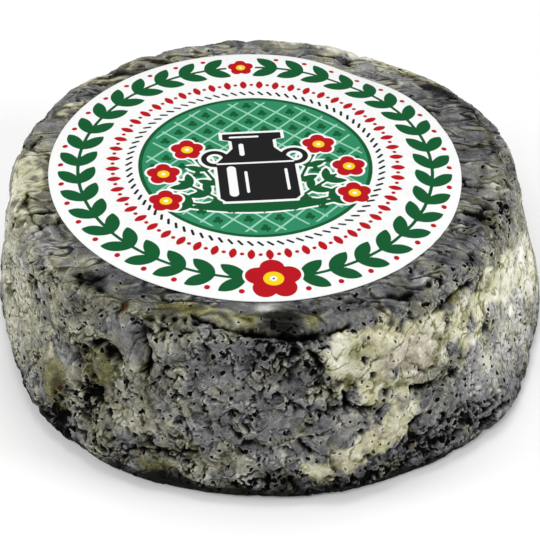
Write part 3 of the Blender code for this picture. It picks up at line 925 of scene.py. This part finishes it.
def print_flower(sheet, place, size):
    """A red flower with a yellow heart and a pale edge."""
    for number in range(FLOWER_PETALS):
        angle = 360 / FLOWER_PETALS * number + 18
        petal = sheet.disc(beyond(place, FLOWER_REACH * size, angle), 1.15 * size)
        sheet.add_outlined("red", petal)
        sheet.clear("leaf", petal - HALO)
    sheet.add("yellow", sheet.disc(place, 0.95 * size))
    sheet.clear("yellow", sheet.disc(place, 0.35 * size))


def print_roundel(sheet):
    """A green disc with a pale lattice and a clover in each of its cells."""
    disc = sheet.disc((0.0, 0.0), ROUNDEL_RADIUS)
    sheet.add("meadow", disc)
    for diagonal in (sheet.u + sheet.v, sheet.u - sheet.v):
        line = np.abs((diagonal / LATTICE_GAP + 0.5) % 1 - 0.5) * LATTICE_GAP / math.sqrt(2) - 0.16
        sheet.add("mist", np.maximum(line, disc + 0.8))
    reach = round(ROUNDEL_RADIUS / LATTICE_GAP) * 2
    for row in range(-reach, reach + 1):
        for column in range(-reach, reach + 1):
            place = (column * LATTICE_GAP / 2, row * LATTICE_GAP / 2)
            if (row + column) % 2 and math.hypot(*place) < ROUNDEL_RADIUS - 1.6:
                print_clover(sheet, place, 0.7)
    sheet.add("leaf", np.abs(disc) - 0.3)


def print_posies(sheet):
    """A low mound, and on each side a spray of red flowers and dark leaves."""
    sheet.add_outlined("leaf", sheet.leaf(MOUND[0], 0.0, *MOUND[1:]))
    for side in (-1, 1):
        root = (side * STEM_ROOT[0], STEM_ROOT[1])
        for slope, length, pairs in STEMS:
            angle = 90 - side * (90 - slope)
            tip = beyond(root, length, angle)
            sheet.add_outlined("leaf", sheet.stroke(root, tip, 0.45))
            for number in range(pairs):
                for splay in (-42, 42):
                    base = beyond(root, (0.62 - 0.24 * number) * length, angle)
                    sheet.add_outlined("leaf", sheet.leaf(base, angle + splay, *STEM_LEAF))
            print_flower(sheet, tip, 0.95)


def print_churn(sheet):
    """A black milk churn with white highlights, in front of the rest."""
    across = np.abs(sheet.u - CHURN_BASE[0]) / CHURN_SCALE
    up = (sheet.v - CHURN_BASE[1]) / CHURN_SCALE
    heights, widths = zip(*CHURN_PROFILE)
    body = np.maximum.reduce([across - np.interp(up, heights, widths), -up, up - heights[-1]])
    handles = np.abs(np.hypot(across - 4.0, up - 7.0) - 1.1) - 0.28
    body = CHURN_SCALE * np.minimum(body, handles)
    for ink in ("leaf", "red", "yellow"):
        sheet.clear(ink, body - 0.5)
    sheet.add("halo", body - 0.5)
    sheet.add("black", body)
    for start, end, width in CHURN_SHINES:
        ends = [(CHURN_BASE[0] + CHURN_SCALE * x, CHURN_BASE[1] + CHURN_SCALE * y) for x, y in (start, end)]
        sheet.add("shine", sheet.stroke(*ends, CHURN_SCALE * width))


def make_print(u, v):
    """All of the label's print."""
    sheet = Print(u, v)
    print_wreath(sheet)
    print_rings(sheet)
    print_roundel(sheet)
    print_posies(sheet)
    print_churn(sheet)
    return sheet.inks


class Paint:
    """Adds shader nodes to one material."""

    def __init__(self, name):
        self.material = bpy.data.materials.new(name)
        self.material.use_nodes = True
        self.nodes = self.material.node_tree.nodes
        self.links = self.material.node_tree.links
        self.shader = self.nodes["Principled BSDF"]

    def put(self, node, values):
        """Link each of a node's inputs to another node, or give it a plain value."""
        for name, value in values.items():
            if isinstance(value, bpy.types.NodeSocket):
                self.links.new(value, node.inputs[name])
            else:
                node.inputs[name].default_value = value

    def node(self, kind, values, **settings):
        """A new node of a kind, with its settings and the values of its inputs."""
        node = self.nodes.new("ShaderNode" + kind)
        for name, setting in settings.items():
            setattr(node, name, setting)
        self.put(node, values)
        return node

    def attribute(self, name):
        return self.node("Attribute", {}, attribute_name=name).outputs["Fac"]

    def place(self):
        return self.node("TexCoord", {}).outputs["Object"]

    def noise(self, size, detail=2.0, distortion=0.0):
        """A node of noise with features of about a size in millimetres."""
        values = {"Scale": 1 / (size * MM), "Detail": detail, "Distortion": distortion}
        return self.node("TexNoise", {"Vector": self.place(), **values})

    def math(self, operation, first, second=0.0, clamp=False):
        node = self.node("Math", {0: first, 1: second}, operation=operation, use_clamp=clamp)
        return node.outputs[0]

    def add(self, first, second):
        return self.math("ADD", first, second)

    def times(self, value, share):
        return self.math("MULTIPLY", value, share)

    def scaled(self, value, middle, share):
        """A value's distance from a middle, times a share."""
        return self.times(self.math("SUBTRACT", value, middle), share)

    def spread(self, value, low, high, to_low=0.0, to_high=1.0):
        """Move a value from one range to another, held within the second."""
        ends = {"From Min": low, "From Max": high, "To Min": to_low, "To Max": to_high}
        return self.node("MapRange", {"Value": value, **ends}).outputs["Result"]

    def spots(self, size, largest):
        """How far each place is inside round spots, one to a cell of a size in millimetres.

        The depth and the largest spot's radius are shares of that size.
        """
        bend = {0: self.noise(0.6 * size).outputs["Color"], 1: (0.8 * size * MM,) * 3, 2: self.place()}
        bent = self.node("VectorMath", bend, operation="MULTIPLY_ADD").outputs["Vector"]
        cells = self.node("TexVoronoi", {"Scale": 1 / (size * MM), "Vector": bent})
        chance = self.node("SeparateColor", {"Color": cells.outputs["Color"]}).outputs[0]
        return self.math("SUBTRACT", self.times(chance, largest), cells.outputs["Distance"])

    def line(self, value, level, width, strength):
        """A line of a strength where a value passes a level, gone at a width from it."""
        off_line = self.math("ABSOLUTE", self.math("SUBTRACT", value, level))
        return self.spread(off_line, 0.0, width, strength, 0.0)

    def curls(self, size):
        """Thin curling lines round noise of a size in millimetres, light with a dark line beside."""
        value = self.noise(size, 1.0, 1.0).outputs["Fac"]
        light = self.line(value, 0.53, 0.03, 1.0)
        dark = self.line(value, 0.47, 0.04, 1.2)
        return self.math("SUBTRACT", light, dark)

    def ramp(self, value, stops):
        node = self.node("ValToRGB", {"Fac": value})
        elements = node.color_ramp.elements
        while len(elements) < len(stops):
            elements.new(0.5)
        for element, (place, colour) in zip(elements, stops):
            element.position = place
            element.color = (*colour, 1.0)
        return node.outputs["Color"]

    def mix(self, share, first, second):
        """A colour between a first one and a second, which may be a plain one."""
        plain = not isinstance(second, bpy.types.NodeSocket)
        values = {"Factor": share, "A": first, "B": (*second, 1.0) if plain else second}
        return self.node("Mix", values, data_type="RGBA").outputs["Result"]

    def bump(self, height, depth, strength):
        """Bump whose full height is a depth in millimetres."""
        node = self.node("Bump", {"Height": height, "Distance": depth * MM, "Strength": strength})
        self.put(self.shader, {"Normal": node.outputs["Normal"]})


def rind_material():
    """Grey wrinkled mould with cream, olive and dark patches, black pits and a moist sheen, with painted
    shade in its pits, cracks, folds and foot.
    """
    paint = Paint("ash rind")
    marks = [paint.attribute(name) for name in RIND_MARKS]
    tone, dark, cream, smooth, warm, olive, blush, black, rust = marks
    grain = paint.noise(GRAIN_SIZE, 1.0).outputs["Fac"]
    mottle = paint.noise(MOTTLE_SIZE).outputs["Fac"]

    largest = paint.spread(tone, 0.05, 0.6, 0.52, 0.37)
    for mark, growth in ((dark, 0.22), (cream, -0.14), (smooth, -0.30)):
        largest = paint.add(largest, paint.times(mark, growth))
    few_large = paint.spots(SPOT_SIZES[1], paint.times(largest, 0.6))
    spots = paint.math("MAXIMUM", paint.spots(SPOT_SIZES[0], largest), few_large)
    specks = paint.spread(spots, 0.0, 0.08)
    rims = paint.spread(spots, -0.14, -0.02)
    curls = paint.times(paint.add(*(paint.curls(size) for size in CURL_SIZES)), 0.5)
    for share in (paint.scaled(grain, 0.5, 0.18), paint.scaled(mottle, 0.5, 0.28),
                  paint.times(curls, 0.13), paint.times(rims, 0.15)):
        tone = paint.add(tone, share)

    colour = paint.mix(warm, paint.ramp(tone, GREY_RIND), paint.ramp(tone, WARM_RIND))
    colour = paint.mix(cream, colour, paint.ramp(paint.add(tone, 0.12), CREAM_RIND))
    colour = paint.mix(paint.times(olive, 0.9), colour, paint.ramp(tone, OLIVE_RIND))
    colour = paint.mix(paint.times(blush, 0.8), colour, paint.ramp(tone, BLUSH_RIND))
    # Specks are small sunk holes, painted black as the shade in them, deep olive where the rind is cream
    clean_cream = paint.math("SUBTRACT", cream, dark, True)
    speck_shade = paint.ramp(clean_cream, ((0.0, BLACK), (1.0, DEEP_OLIVE)))
    colour = paint.mix(specks, colour, speck_shade)
    # Then the black mark, which holds painted shade at the foot, in pits and cracks, and on smooth dark
    # patches
    colour = paint.mix(black, colour, BLACK)
    colour = paint.mix(rust, colour, RUST)

    wet = paint.math("MAXIMUM", smooth, blush)
    rough = paint.spread(wet, 0.0, 1.0, DRY_ROUGHNESS, WET_ROUGHNESS)
    rough = paint.add(rough, paint.scaled(mottle, 0.5, 0.2))
    bare = paint.math("SUBTRACT", 1.0, paint.math("MAXIMUM", black, specks), True)
    moist = paint.math("MULTIPLY", paint.spread(wet, 0.4, 1.0, 0.2, 0.9), bare)
    paint.put(paint.shader, {"Base Color": colour, "Roughness": rough, "Specular IOR Level": RIND_SPECULAR,
                             "Coat Weight": moist, "Coat Roughness": COAT_ROUGHNESS})
    height = paint.add(paint.add(grain, paint.times(curls, 0.6)), paint.times(specks, -1.2))
    paint.bump(height, 0.12, 0.55)
    return paint.material


def paper_material():
    """White paper with each ink laid over the last."""
    paint = Paint("printed paper")
    fibre = paint.noise(FIBRE_SIZE).outputs["Fac"]
    colour = paint.ramp(fibre, PAPER)
    for name, ink in INKS.items():
        inside = paint.spread(paint.attribute("ink_" + name), -INK_EDGE, INK_EDGE, 1.0, 0.0)
        colour = paint.mix(inside, colour, ink)
    paint.put(paint.shader, {"Base Color": colour, "Roughness": PAPER_ROUGHNESS,
                             "Specular IOR Level": PAPER_SPECULAR})
    paint.bump(fibre, 0.02, 0.4)
    return paint.material


def floor_material():
    """Plain matt white, which glows far off so that it stays white beyond the lights."""
    paint = Paint("floor")
    nearness = paint.node("TexGradient", {"Vector": paint.place()}, gradient_type="SPHERICAL")
    glow = paint.spread(nearness.outputs["Fac"], *FLOOR_NEARNESS, FLOOR_GLOW, 0.0)
    paint.put(paint.shader, {"Base Color": FLOOR_WHITE, "Roughness": 0.9, "Emission Strength": glow})
    return paint.material


def add_floor():
    """The white surface that the cheese stands on."""
    mesh = bpy.data.meshes.new("floor")
    reach = FLOOR_REACH
    corners = [(-reach, -reach, 0.0), (reach, -reach, 0.0), (reach, reach, 0.0), (-reach, reach, 0.0)]
    mesh.from_pydata(corners, [], [(0, 1, 2, 3)])
    mesh.materials.append(floor_material())
    add_object("floor", mesh)


def add_light(name, place, target, size, power):
    """A soft square light aimed at a point."""
    light = bpy.data.lights.new(name, "AREA")
    light.size = size
    light.energy = power
    item = add_object(name, light)
    item.location = place
    item.rotation_euler = (Vector(target) - Vector(place)).to_track_quat("-Z", "Y").to_euler()


def add_world():
    """Even white light from all round."""
    world = bpy.data.worlds.new("studio")
    world.use_nodes = True
    background = world.node_tree.nodes["Background"]
    background.inputs["Color"].default_value = (1.0, 1.0, 1.0, 1.0)
    background.inputs["Strength"].default_value = WORLD_STRENGTH
    bpy.context.scene.world = world


def add_camera():
    """The camera looks along +Y and down at the front of the cheese."""
    data = bpy.data.cameras.new("camera")
    data.lens = CAMERA_LENS
    data.sensor_width = CAMERA_SENSOR
    data.sensor_fit = "HORIZONTAL"
    data.clip_start = 0.01
    camera = add_object("camera", data)
    tilt = math.radians(CAMERA_ELEVATION)
    back = Vector((0.0, -math.cos(tilt), math.sin(tilt)))
    place = (Vector(CAMERA_TARGET) + back * CAMERA_DISTANCE) * MM
    roll = Matrix.Rotation(math.radians(CAMERA_ROLL), 4, "Z")
    camera.matrix_world = Matrix.Translation(place) @ Matrix.Rotation(math.pi / 2 - tilt, 4, "X") @ roll
    bpy.context.scene.camera = camera


rind = make_rind(rind_material())
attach(rind, "root")
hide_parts("cheese")

label = make_label(paper_material())
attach(label, "root")
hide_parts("label")

add_floor()
for settings in LIGHTS:
    add_light(*settings)
add_world()
bpy.context.scene.view_settings.view_transform = "Standard"
add_camera()
